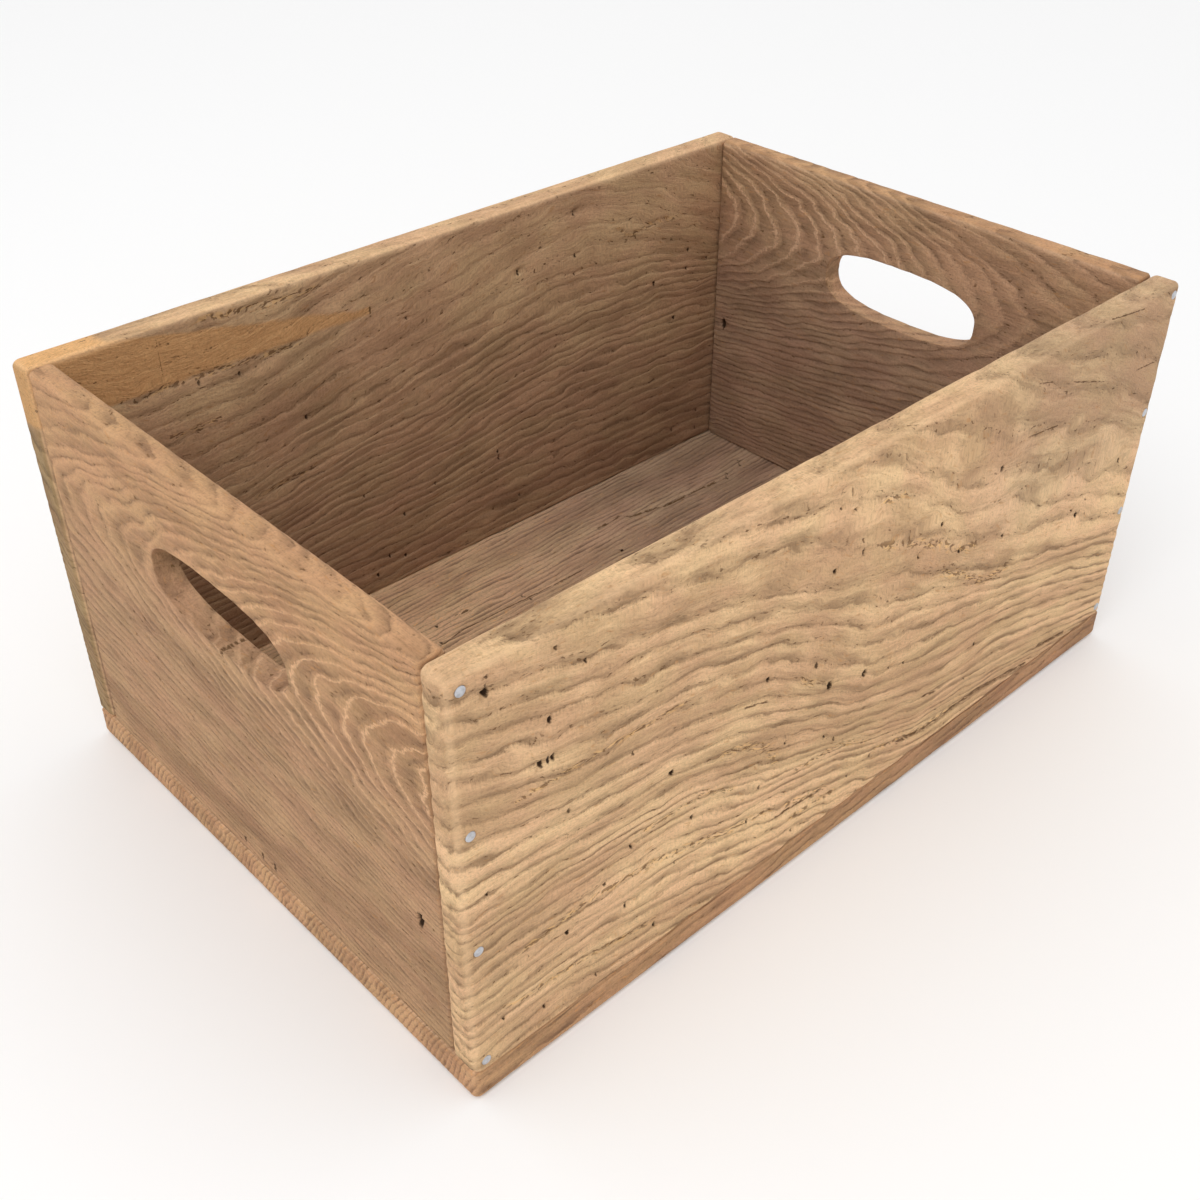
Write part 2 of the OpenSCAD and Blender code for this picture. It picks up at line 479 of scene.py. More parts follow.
BACK_HOLES = (
    (353, 15, 1.5, 4), (307, 40.5, 1.5, 4), (354, 43, 1.0, 2), (353, 55, 0.8, 1.5), (149, 81, 1.2, 2.5),
    (222.5, 44, 0.8, 1.5), (88, 38, 1.1, 1.5), (112, 41, 1.0, 1.5), (425, 83, 1.4, 2), (456, 81, 1.0, 2),
    (476, 79, 0.8, 1.5), (457, 68, 1.1, 1.5), (445, 114, 1.0, 2), (285, 157, 1.0, 2), (285.5, 162, 1.1, 2),
    (234, 160, 0.9, 1.5), (209, 172, 1.0, 2), (181, 147, 0.9, 1.5), (195, 197, 1.0, 2), (207, 202, 1.0, 2),
    (185, 207, 1.0, 2), (302, 197, 0.9, 1.5), (447, 203, 1.1, 1.5), (472, 196, 0.9, 1.5),
)
LEFT_HOLES = ((290.2, 146, 2.1, 3), (138, 211, 1.0, 1), (154, 211, 1.1, 1), (165, 211, 1.3, 1.2))
RIGHT_HOLES = ((10.2, 128, 1.9, 3),)
LEFT_CRACKS = ((1.0, 0.6, ((151.5, 78), (151.5, 85))),)
# Grey streaks across the left hand slot's wall: (a, half width, strength)
LEFT_SLOT_STREAKS = ((144, 5.5, 1.3), (165.5, 2.8, 1.5), (196, 4, 0.7))
BOTTOM_HOLES = (
    (447, 72, 1.0, 1.5), (452, 67, 0.9, 1.5), (471, 61, 1.0, 1.5), (467, 66, 0.9, 1.5), (329, 87, 1.2, 2),
    (247, 82, 0.9, 1.2), (249, 88, 0.9, 1.2), (188, 70, 1.0, 1.5), (180, 85, 1.0, 1.5),
)

# Cracks and worn rows: (half width, depth, points along it)
FRONT_CRACKS = (
    (0.9, 0.8, ((293, 203), (317, 208), (367, 208), (417, 216))),
    (0.9, 0.8, ((428, 209), (457, 214))),
    (0.7, 0.5, ((193, 192), (229, 196))),
    (0.6, 0.5, ((310, 181), (322, 184))),
    (0.5, 0.5, ((163, 104), (178, 109))),
    (0.3, 0.3, ((432, 1), (463, 5))),
    (0.3, 0.3, ((368, 15), (383, 19))),
    (0.35, 0.3, ((368, 45), (397, 49))),
    (0.3, 0.3, ((402, 26), (437, 38))),
    (0.35, 0.3, ((470, 43), (492, 45))),
)
FRONT_WORN_ROWS = (
    (2.6, ((250, 57), (272, 65), (293, 75), (305, 80), (322, 92), (337, 95))),
    (2.4, ((310, 100), (328, 110), (340, 118), (353, 125), (373, 125))),
    (1.8, ((250, 32), (265, 35))),
    (2.2, ((150, 124), (165, 128), (182, 140), (188, 152))),
    (2.6, ((200, 190), (228, 196))),
    (2.0, ((30, 160), (60, 158), (95, 160), (130, 168), (160, 178))),
    (2.0, ((203, 110), (212, 118))),
    (1.5, ((150, 176), (185, 182), (215, 192), (232, 197))),
    (1.7, ((205, 200), (240, 204))),
    (2.0, ((272, 195), (290, 201), (315, 206), (345, 207))),
    (1.5, ((205, 168), (240, 172), (262, 184))),
    (1.5, ((15, 188), (70, 194), (110, 202))),
    (1.4, ((30, 74), (80, 76), (125, 78))),
    (1.4, ((100, 138), (140, 141), (160, 152))),
)
# Dark stains: (a, w, half length, half width, strength)
FRONT_STAINS = (
    (330, 28, 24, 22, 1.0), (492, 30, 34, 44, 1.0), (362, 119, 15, 9, 1.1), (60, 140, 70, 9, 0.4),
    (168, 138, 30, 13, 0.6), (410, 80, 40, 7, 0.7), (300, 92, 34, 6, 0.6), (380, 6, 30, 9, 0.8),
    (430, 62, 28, 9, 0.6), (435, 22, 85, 38, 0.5),
)
BACK_CRACKS = (
    (0.5, 0.9, ((198, 29.5), (198, 35))),
    (0.12, 0.2, ((69, 7), (69, 28))),
)
BACK_WORN_ROWS = (
    (1.8, ((60, 34), (110, 35), (150, 36))),
    (1.6, ((67, 63), (98, 62.5))),
    (2.0, ((95, 4), (130, 8), (165, 8))),
    (1.5, ((110, 118), (150, 113))),
    (1.6, ((392, 35), (400, 44), (425, 40), (445, 42))),
)
BOTTOM_CRACKS = (
    (0.8, 1.2, ((335, 58), (357, 56), (362, 62), (383, 66))),
    (0.8, 1.2, ((387, 68), (410, 69), (437, 70))),
    (0.4, 0.4, ((177, 88), (198, 84), (252, 86), (293, 87))),
    (0.7, 0.8, ((203, 70), (213, 70))),
)


def front_line_strength(a, w):
    """The front board's broad bands in its upper right are smoother than the lines below them."""
    below_bands = w - 0.28 * (a - 180)
    return 1 - 0.32 * ease(a, 170, 250) * (1 - ease(below_bands, 45, 75))


def back_line_strength(a, w):
    """The back board is smoother towards its upper right."""
    return 0.72 - 0.5 * ease(a, 150, 230) * (1 - ease(w, 40, 85))


def left_pale(a, w):
    """Where pale ridges show on the left end board."""
    return np.exp(-((w - 64) / 42) ** 2) * (0.25 + 0.75 * ease(a, 115, 200))


def right_pale(a, w):
    return np.exp(-((w - 42) / 36) ** 2) * (1 - 0.8 * ease(a, 120, 200))


def fresh_wedge(a, w, d):
    """1 where the old surface of the back board has split off and fresh wood shows."""
    ragged = 1.2 * cloud(a, w, d, (9, 3, 9), 7, octaves=2)
    under_top = w - (2 + (a - 55) * 28 / 143) + ragged
    above_foot = 33.5 - w + 0.5 * ragged
    return ease(np.minimum(under_top, above_foot), -0.3, 0.9) * (1 - ease(a, 197, 200))


# ---------------------------------------------------------------- from grain to relief

RING_PLACES = (0, 0.1, 0.26, 0.55, 0.84, 0.95, 1)
RING_HEIGHTS = (0.12, 0.62, 1, 0.82, 0.5, 0, 0.12)


def ring_height(ring):
    """Height of the raised grain within each ring, from 0 in the groove to 1 on the ridge."""
    return np.interp(ring - np.floor(ring), RING_PLACES, RING_HEIGHTS)


def gather_at_holes(shell, holes, axis, side):
    """Gathers the grid of one face round each hole."""
    face = np.nonzero(shell.flat_on(axis, side))[0]
    (along, along_from), (across, across_from), _ = shell.board.directions
    for a, w, _, _ in holes:
        centre = np.array([
            shell.board.low[along] + a if along_from == LOW else shell.board.high[along] - a,
            shell.board.low[across] + w if across_from == LOW else shell.board.high[across] - w,
        ])
        gather_face(shell, face, [along, across], centre, *HOLE_GATHER)


# How far a point's nearest hole or crack is looked for, and the mark of a point that has none
HOLE_MARK_REACH = 8.0
CRACK_MARK_REACH = 4.0
FAR = 9.0


def hole_marks(a, w, holes, squash, shown):
    """How deep each point sinks into a hole, and its mark: offset in hole radii, and how dark the hole is
    painted, as painted shade that is darker for deeper holes.

    Squash is a hole's width over its height.
    """
    depth = np.zeros(len(a))
    marks = np.tile([FAR, FAR, 0.0], (len(a), 1))
    nearest = np.full(len(a), HOLE_MARK_REACH)
    for hole_a, hole_w, radius, deep in holes:
        offset = np.stack([a - hole_a, squash * (w - hole_w)])
        distance = np.hypot(*offset)
        closer = shown & (distance < nearest)
        nearest[closer] = distance[closer]
        # Painted shade: deeper holes are painted darker
        painted_shade = min(1, 0.35 + deep / 3) * (distance < 1.7 * radius)
        marks[closer] = np.stack([*(offset / radius), painted_shade], axis=1)[closer]
        depth = np.maximum(depth, shown * deep * (1 - ease(distance, 0.3 * radius, 0.9 * radius)))
    return depth, marks


def crack_marks(a, w, cracks, ragged, shown):
    """How deep each point sinks into a crack, and its mark: offsets across and past its end, half width."""
    depth = np.zeros(len(a))
    marks = np.tile([FAR, FAR, 0.0], (len(a), 1))
    nearest = np.full(len(a), CRACK_MARK_REACH)
    for half_width, deep, points in cracks:
        for (a0, w0), (a1, w1) in zip(points, points[1:]):
            length = math.hypot(a1 - a0, w1 - w0)
            ahead = ((a - a0) * (a1 - a0) + (w - w0) * (w1 - w0)) / length
            aside = ((w - w0) * (a1 - a0) - (a - a0) * (w1 - w0)) / length
            past = np.maximum(np.maximum(-ahead, ahead - length), 0)
            distance = np.hypot(aside, past)
            closer = shown & (distance < nearest)
            nearest[closer] = distance[closer]
            marks[closer] = np.stack([aside, past, np.full(len(a), half_width)], axis=1)[closer]
            sunk = deep * (1 - ease(distance + 0.35 * ragged, 0.3 * half_width, 1.6 * half_width))
            depth = np.maximum(depth, shown * sunk)
    return depth, marks


def pockets(shell, nails, axis):
    """Rounds the grid to the nail heads and returns how deep the wood is sunk round them."""
    others = [other for other in (X, Y, Z) if other != axis]
    depth = np.zeros(len(shell.points))
    for nail in nails:
        side = LOW if nail.heading[axis] > 0 else HIGH
        on_side = shell.lean_to(axis, side) == 1
        flat = np.nonzero(on_side & (np.abs(shell.leans[:, others]) < 0.5).all(axis=1))[0]
        centre = nail.head[others]
        offsets = shell.points[np.ix_(flat, others)] - centre
        distance = np.hypot(*offsets.T)
        for ring_radius in (POCKET_FLOOR_RADIUS, POCKET_RIM_RADIUS):
            close = np.abs(distance - ring_radius) < POCKET_SNAP
            offsets[close] *= (ring_radius / distance[close])[:, None]
            distance[close] = ring_radius
        shell.points[np.ix_(flat, others)] = centre + offsets
        radii = (POCKET_FLOOR_RADIUS, POCKET_RIM_RADIUS, POCKET_REACH)
        sunk = np.interp(distance, radii, (POCKET_DEPTH, POCKET_RIM_DEPTH, 0))
        depth[flat] = np.maximum(depth[flat], sunk)
    return depth


def add_piece(name, points, quads, material, attributes, replaced):
    """A smooth-shaded mesh from points in millimetres, riding on the crate's one body."""
    mesh = bpy.data.meshes.new(name)
    mesh.vertices.add(len(points))
    mesh.vertices.foreach_set("co", (points * MM).astype(np.float32).ravel())
    mesh.loops.add(quads.size)
    mesh.loops.foreach_set("vertex_index", quads.astype(np.int32).ravel())
    mesh.polygons.add(len(quads))
    mesh.polygons.foreach_set("loop_start", np.arange(0, quads.size, 4, dtype=np.int32))
    mesh.polygons.foreach_set("use_smooth", np.ones(len(quads), bool))
    mesh.update(calc_edges=True)
    mesh.validate()
    for key, values in attributes.items():
        kind = "FLOAT_VECTOR" if values.ndim == 2 else "FLOAT"
        attribute = mesh.attributes.new(key, kind, "POINT")
        field = "vector" if values.ndim == 2 else "value"
        attribute.data.foreach_set(field, values.astype(np.float32).ravel())
    mesh.materials.append(material)
    piece = put_in_scene(name, mesh)
    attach(piece, "root")
    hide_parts(replaced)


# ---------------------------------------------------------------- materials

class Tree:
    """A small helper for writing a material's nodes."""

    def __init__(self, name):
        self.material = bpy.data.materials.new(name)
        self.material.use_nodes = True
        self.nodes = self.material.node_tree.nodes
        self.links = self.material.node_tree.links
        self.shader = self.nodes["Principled BSDF"]

    def node(self, kind, inputs=None, **settings):
        """A new node with its settings, and its inputs by name or number."""
        made = self.nodes.new(kind)
        for key, value in settings.items():
            setattr(made, key, value)
        for key, value in (inputs or {}).items():
            self.join(value, made.inputs[key])
        return made

    def join(self, value, socket):
        if isinstance(value, bpy.types.NodeSocket):
            self.links.new(value, socket)
        else:
            socket.default_value = value

    def attribute(self, name, output="Fac"):
        return self.node("ShaderNodeAttribute", attribute_name=name).outputs[output]

    def math(self, operation, first, second=0.0, third=0.0):
        inputs = {0: first, 1: second, 2: third}
        return self.node("ShaderNodeMath", inputs, operation=operation).outputs[0]

    def product(self, first, second):
        return self.math("MULTIPLY", first, second)

    def scaled_sum(self, value, factor, added):
        """Value times factor, plus added."""
        return self.math("MULTIPLY_ADD", value, factor, added)

    def split(self, vector):
        return self.node("ShaderNodeSeparateXYZ", {0: vector}).outputs

    def stretched(self, vector, scale):
        made = self.node("ShaderNodeVectorMath", {0: vector, 1: scale}, operation="MULTIPLY")
        return made.outputs[0]

    def noise(self, vector, scale, detail=2.0, roughness=0.5, distortion=0.0):
        """Noise from 0 to 1. Scale is a vector, in rises a millimetre along each way of the vector."""
        inputs = {
            "Vector": self.stretched(vector, scale), "Scale": 1.0, "Detail": detail,
            "Roughness": roughness, "Distortion": distortion,
        }
        return self.node("ShaderNodeTexNoise", inputs).outputs[0]

    def spread(self, value, low, high, to_low=0.0, to_high=1.0):
        """Value carried from low..high to to_low..to_high, and held there."""
        inputs = {"Value": value, 1: low, 2: high, 3: to_low, 4: to_high}
        return self.node("ShaderNodeMapRange", inputs, interpolation_type="SMOOTHSTEP").outputs[0]

    def ramp(self, value, stops):
        """A curve from (place, value) stops."""
        made = self.node("ShaderNodeValToRGB", {0: value})
        elements = made.color_ramp.elements
        while len(elements) < len(stops):
            elements.new(0.5)
        for element, (place, level) in zip(elements, stops):
            element.position = place
            element.color = (level, level, level, 1)
        return made.outputs[0]

    def blend(self, factor, first, second, mode="MIX"):
        """Two colours blended: a colour is a socket or three numbers."""
        made = self.node("ShaderNodeMix", {0: factor}, data_type="RGBA", blend_type=mode)
        for value, socket in ((first, made.inputs[6]), (second, made.inputs[7])):
            self.join(value if isinstance(value, bpy.types.NodeSocket) else (*value, 1), socket)
        return made.outputs[2]


# How dark each place in a ring is: the ring's line, and painted shade on the raised grain's ridges, lightest
# just past a line
THIN_LINES_AND_PAINTED_RIDGE_SHADE = ((0.0, 0.85), (0.05, 0.35), (0.16, 0.0), (0.6, 0.1), (0.82, 0.45), (0.94, 1.0), (1.0, 0.85))
BROAD_BANDS_AND_PAINTED_RIDGE_SHADE = ((0.0, 0.9), (0.05, 0.4), (0.14, 0.0), (0.32, 0.16), (0.58, 0.6), (0.85, 0.92), (1.0, 0.9))
# How each kind of noise darkens the wood: (noise value, brightness)
FIBRE_SHADES = ((0.28, 0.78), (0.5, 0.97), (0.72, 1.0))
MOTTLE_SHADES = ((0.3, 0.66), (0.5, 0.95), (0.68, 1.0))
TEETH_SHADES = ((0.3, 0.88), (0.6, 1.0))
# Painted shade: the near black painted into the worm holes
PAINTED_HOLE_SHADE_COLOUR = (0.034, 0.015, 0.005)
CRACK_COLOUR = (0.12, 0.058, 0.022)
FLECK_COLOUR = (0.52, 0.26, 0.10)
CHEWED_FLECK_COLOUR = (0.95, 0.58, 0.24)
BITTEN_COLOUR = (0.17, 0.085, 0.032)
HUES = ((1.0, 0.93, 0.90), (1.0, 1.0, 0.92))


def hole_share(tree, ragged):
    """1 in the worm holes, which are painted near black as painted shade; their marks are offsets from their
    middles.
    """
    hole_x, hole_y, painted_shade = tree.split(tree.attribute("hole", "Vector"))
    radii = tree.math("SQRT", tree.scaled_sum(hole_x, hole_x, tree.product(hole_y, hole_y)))
    edge = tree.scaled_sum(ragged, 0.6, tree.math("SUBTRACT", radii, 0.3))
    return tree.product(tree.spread(edge, 0.62, 1.15, 1.0, 0.0), painted_shade)


def crack_share(tree, ragged, breaks):
    """1 in the cracks, whose marks are offsets from their middle lines; breaks interrupts them."""
    aside, past, half_width = tree.split(tree.attribute("crack", "Vector"))
    distance = tree.math("SQRT", tree.scaled_sum(aside, aside, tree.product(past, past)))
    share = tree.math("DIVIDE", distance, tree.math("MAXIMUM", half_width, 0.05))
    edge = tree.scaled_sum(ragged, 4.0, tree.math("SUBTRACT", share, 2.0))
    return tree.product(tree.spread(edge, 0.6, 1.9, 0.9, 0.0), tree.spread(breaks, 0.36, 0.5))


def ring_shade(tree, grain, teeth):
    """Place within each growth ring, from 0 to 1, and how dark it is there: the ring's line, and painted
    shade on the raised grain's ridges, lightest just past each line and darker towards the next.
    """
    wander = tree.noise(grain, (0.11, 0.33, 0.33), detail=5.0, roughness=0.65)
    ring = tree.math("ADD", tree.attribute("ring"), -0.37)
    ring = tree.scaled_sum(wander, 0.56, ring)
    ring = tree.scaled_sum(teeth, 0.18, ring)
    phase = tree.math("FRACT", ring)
    breadth = tree.spread(tree.noise(grain, (0.015, 0.05, 0.05), detail=2.0), 0.38, 0.62)
    return phase, tree.blend(breadth, tree.ramp(phase, THIN_LINES_AND_PAINTED_RIDGE_SHADE), tree.ramp(phase, BROAD_BANDS_AND_PAINTED_RIDGE_SHADE))


def ring_line_and_painted_shade_share(tree, grain, shade, contrast):
    """How far the dark of the rings' lines, with their painted ridge shade, covers the wood."""
    band = tree.noise(grain, (0.03, 0.15, 0.1), detail=4.0, roughness=0.6)
    strength = tree.product(tree.spread(band, 0.33, 0.67, 0.2, 1.2), tree.attribute("lines"))
    return tree.product(tree.product(shade, strength), contrast)


def pale_share(tree, phase, teeth):
    """1 on the pale ridges."""
    ridge = tree.math("ABSOLUTE", tree.math("SUBTRACT", phase, 0.3))
    pale = tree.product(tree.spread(ridge, 0.03, 0.13, 1.0, 0.0), tree.attribute("pale"))
    return tree.product(pale, tree.spread(teeth, 0.3, 0.55, 0.3, 0.95))


def bitten_share(tree, grain, phase, chewed):
    """1 in the small bites that follow the grooves between rings and the worn rows."""
    bite = tree.noise(grain, (0.26, 0.66, 0.66), detail=3.0)
    groove = tree.math("MAXIMUM", tree.spread(phase, 0.6, 0.9), tree.product(chewed, 0.9))
    level = tree.scaled_sum(chewed, -0.10, 0.615)
    return tree.product(tree.spread(tree.math("SUBTRACT", bite, level), 0.0, 0.05), groove)


def old_colour(tree, grain, light, mid):
    """The wood between the lines: from light to mid in streaks, with small changes of hue."""
    streak = tree.noise(grain, (0.018, 0.4, 0.35), detail=4.0, roughness=0.6)
    blotch = tree.noise(grain, (0.035, 0.06, 0.06), detail=3.0)
    hue = tree.noise(grain, (0.022, 0.045, 0.04), detail=4.0, roughness=0.6)
    warmth = tree.math("ADD", tree.product(streak, 0.7), tree.product(blotch, 0.6))
    warmth = tree.scaled_sum(tree.attribute("tone"), 0.28, warmth)
    colour = tree.blend(tree.spread(warmth, 0.40, 0.84), mid, light)
    return tree.blend(1.0, colour, tree.blend(tree.spread(hue, 0.35, 0.65), *HUES), "MULTIPLY")


def wood(name, light, mid, dark, contrast, fresh=None):
    """Old wood: rings, fibres, pores, worn edges and dark pits, all from the board's own grain. Painted shade
    darkens the grain's ridges and the worm holes, and per-face tints add painted shade and light.
    """
    tree = Tree(name)
    grain = tree.attribute("grain", "Vector")
    chewed = tree.attribute("chewed")
    teeth = tree.noise(grain, (1.1, 0.3, 0.3), detail=3.0, roughness=0.6)
    fibre = tree.noise(grain, (0.09, 1.5, 1.5), detail=5.0, roughness=0.7)
    mottle = tree.noise(grain, (0.55, 0.9, 0.9), detail=6.0, roughness=0.75)
    fleck = tree.noise(grain, (0.16, 0.75, 0.75), detail=3.0, distortion=0.6)
    pore = tree.spread(tree.noise(grain, (0.32, 2.2, 2.2), detail=2.0), 0.64, 0.72)
    fleck_level = tree.scaled_sum(chewed, -0.12, 0.6)
    flecked = tree.spread(tree.math("SUBTRACT", fleck, fleck_level), 0.0, 0.12, 0.0, 0.55)
    phase, shade = ring_shade(tree, grain, teeth)
    pale = pale_share(tree, phase, teeth)
    bitten = bitten_share(tree, grain, phase, chewed)

    colour = old_colour(tree, grain, light, mid)
    # Painted shade: the rings' lines carry the shade of the raised grain's ridges
    colour = tree.blend(ring_line_and_painted_shade_share(tree, grain, shade, contrast), colour, dark)
    colour = tree.blend(pale, colour, [min(1.0, 1.3 * c) for c in light])
    if fresh:
        fresh_colour = tree.blend(tree.spread(fibre, 0.3, 0.7), *fresh)
        colour = tree.blend(tree.attribute("fresh"), colour, fresh_colour)
    for value, stops in ((fibre, FIBRE_SHADES), (mottle, MOTTLE_SHADES), (teeth, TEETH_SHADES)):
        colour = tree.blend(1.0, colour, tree.ramp(value, stops), "MULTIPLY")
    colour = tree.blend(flecked, colour, tree.blend(chewed, FLECK_COLOUR, CHEWED_FLECK_COLOUR))
    colour = tree.blend(tree.product(pore, 0.4), colour, [0.45 * c for c in dark])
    colour = tree.blend(tree.product(bitten, 0.85), colour, BITTEN_COLOUR)
    colour = tree.blend(tree.product(tree.attribute("worn"), 0.25), colour, light)
    # Painted shade and light: per-face tints that darken the walls' insides further down and lighten the
    # bottom board's inside
    colour = tree.blend(1.0, colour, tree.attribute("tint_and_painted_shading", "Vector"), "MULTIPLY")
    colour = tree.blend(crack_share(tree, mottle, fleck), colour, CRACK_COLOUR)
    # Painted shade: the worm holes painted near black
    colour = tree.blend(hole_share(tree, mottle), colour, PAINTED_HOLE_SHADE_COLOUR)
    tree.join(colour, tree.shader.inputs["Base Color"])
    tree.join(tree.scaled_sum(fibre, 0.25, 0.62), tree.shader.inputs["Roughness"])
    tree.join(0.2, tree.shader.inputs["Specular IOR Level"])

    height = tree.scaled_sum(shade, -0.8, tree.product(fibre, 0.8))
    for value, rise in ((mottle, 1.6), (bitten, -1.5), (pore, -0.3), (pale, 0.9)):
        height = tree.scaled_sum(value, rise, height)
    bump = tree.node("ShaderNodeBump", {"Strength": 0.75, "Distance": 0.55 * MM, "Height": height})
    tree.join(bump.outputs[0], tree.shader.inputs["Normal"])
    return tree.material


def nail_steel():
    """Pale steel with fine scratches and a little tarnish."""
    tree = Tree("nail_steel")
    place = tree.node("ShaderNodeTexCoord").outputs["Object"]
    tarnish = tree.noise(place, (600, 600, 600), detail=3.0)
    scratches = tree.noise(place, (2600, 500, 2600), detail=2.0)
    colour = tree.blend(tree.spread(tarnish, 0.35, 0.75), (0.57, 0.58, 0.61), (0.42, 0.42, 0.44))
    tree.join(colour, tree.shader.inputs["Base Color"])
    tree.shader.inputs["Metallic"].default_value = 0.85
    tree.join(tree.spread(scratches, 0.3, 0.7, 0.34, 0.5), tree.shader.inputs["Roughness"])
    bump = tree.node("ShaderNodeBump", {"Strength": 0.3, "Distance": 0.05 * MM, "Height": scratches})
    tree.join(bump.outputs[0], tree.shader.inputs["Normal"])
    return tree.material


FRESH_WOOD = ((0.87, 0.465, 0.19), (1.0, 0.59, 0.26))
SIDE_WOOD = wood("side_wood", (1.0, 0.68, 0.40), (0.71, 0.455, 0.26), (0.35, 0.21, 0.108), 0.9, FRESH_WOOD)
END_WOOD = wood("end_wood", (0.66, 0.41, 0.24), (0.46, 0.275, 0.155), (0.22, 0.125, 0.07), 0.6)
BOTTOM_WOOD = wood("bottom_wood", (0.53, 0.335, 0.205), (0.39, 0.237, 0.143), (0.17, 0.095, 0.057), 0.8)
NAIL_STEEL = nail_steel()


# ---------------------------------------------------------------- nails

class Nail:
    """Where a CAD nail is: the middle of its head's top, and the way its point goes."""

    def __init__(self, node):
        low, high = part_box(node)
        low, high = np.array(low) / MM, np.array(high) / MM
        self.node = node
        self.axis = int(np.argmax(high - low))
        self.length = (high - low)[self.axis]
        middle = (cad_low[self.axis] + cad_high[self.axis]) / 2 / MM
        sign = 1 if (low + high)[self.axis] / 2 < middle else -1
        self.heading = np.zeros(3)
        self.heading[self.axis] = sign
        self.head = (low + high) / 2
        self.head[self.axis] = low[self.axis] if sign > 0 else high[self.axis]


NAILS = [Nail(node) for node in sorted(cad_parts) if "_nail_" in node]


def nail_outline(length):
    """Radius and depth of the nail from the middle of its head to its point."""
    head, wire, rim, under_head = NAIL_HEAD_RADIUS, NAIL_WIRE_RADIUS, NAIL_RIM, NAIL_HEAD_THICKNESS
    outline = [(0.0, 0.0), (1.4, 0.0), (2.1, 0.03)]
    for step in range(5):
        turn = step * math.pi / 8
        outline.append((head - rim + rim * math.sin(turn), 0.05 + rim - rim * math.cos(turn)))
    outline += [(head - 0.15, under_head), (wire + 0.1, under_head)]
    for grip in range(NAIL_GRIPS):
        start = under_head + NAIL_GRIP_START + grip * NAIL_GRIP_PITCH
        outline += [(wire, start), (wire - NAIL_GRIP_DEPTH, start + 0.25), (wire, start + 0.5)]
    point = length - NAIL_POINT
    outline += [(wire, point), (0.75, point + 1.6), (0.1, length - 0.1), (0.0, length)]
    return outline


def make_nail(nail):
    """A turned nail with a rounded head, grip marks under it and a four-sided point."""
    outline = nail_outline(nail.length)
    side, other = [np.eye(3)[axis] for axis in (X, Y, Z) if axis != nail.axis]
    if np.dot(np.cross(side, other), nail.heading) < 0:
        side, other = other, side
    points = [nail.head]
    for radius, depth in outline[1:-1]:
        pointed = ease(depth, nail.length - NAIL_POINT, nail.length - NAIL_POINT + 1)
        for step in range(NAIL_SIDES):
            turn = 2 * math.pi * step / NAIL_SIDES
            cosine, sine = math.cos(turn), math.sin(turn)
            corner = max(abs(cosine), abs(sine)) ** -1
            size = radius * (1 + pointed * 0.8 * (corner / 1.414 - 1))
            points.append(nail.head + nail.heading * depth + size * (cosine * side + sine * other))
    points.append(nail.head + nail.heading * nail.length)
    mesh = bpy.data.meshes.new(nail.node + "_steel")
    faces = [(0, 1 + (step + 1) % NAIL_SIDES, 1 + step) for step in range(NAIL_SIDES)]
    for row in range(len(outline) - 3):
        first = 1 + row * NAIL_SIDES
        for step in range(NAIL_SIDES):
            beside = (step + 1) % NAIL_SIDES
            below = first + NAIL_SIDES
            faces.append((first + step, first + beside, below + beside, below + step))
    last = len(points) - 1
    first = last - NAIL_SIDES
    faces += [(first + step, first + (step + 1) % NAIL_SIDES, last) for step in range(NAIL_SIDES)]
    mesh.from_pydata([tuple(point * MM) for point in points], [], faces)
    mesh.shade_smooth()
    mesh.materials.append(NAIL_STEEL)
    piece = put_in_scene(nail.node + "_steel", mesh)
    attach(piece, "root")
    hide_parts(nail.node)


# ---------------------------------------------------------------- making the boards

@dataclass
class Look:
    """What makes one board's surface: its grain, relief, marks, tints with painted shade and light, and
    material.
    """

    grain: Callable
    relief: float
    ripple: float
    shown: tuple
    seed: int
    material: bpy.types.Material
    slot: str
    tint_and_painted_shading: Callable
    holes: tuple = ()
    cracks: tuple = ()
    rows: tuple = ()
    stains: tuple = ()
    slot_streaks: tuple = ()
    squash: float = 0.62
    line_strength: Callable = None
    pale: Callable = None
    fresh: Callable = None


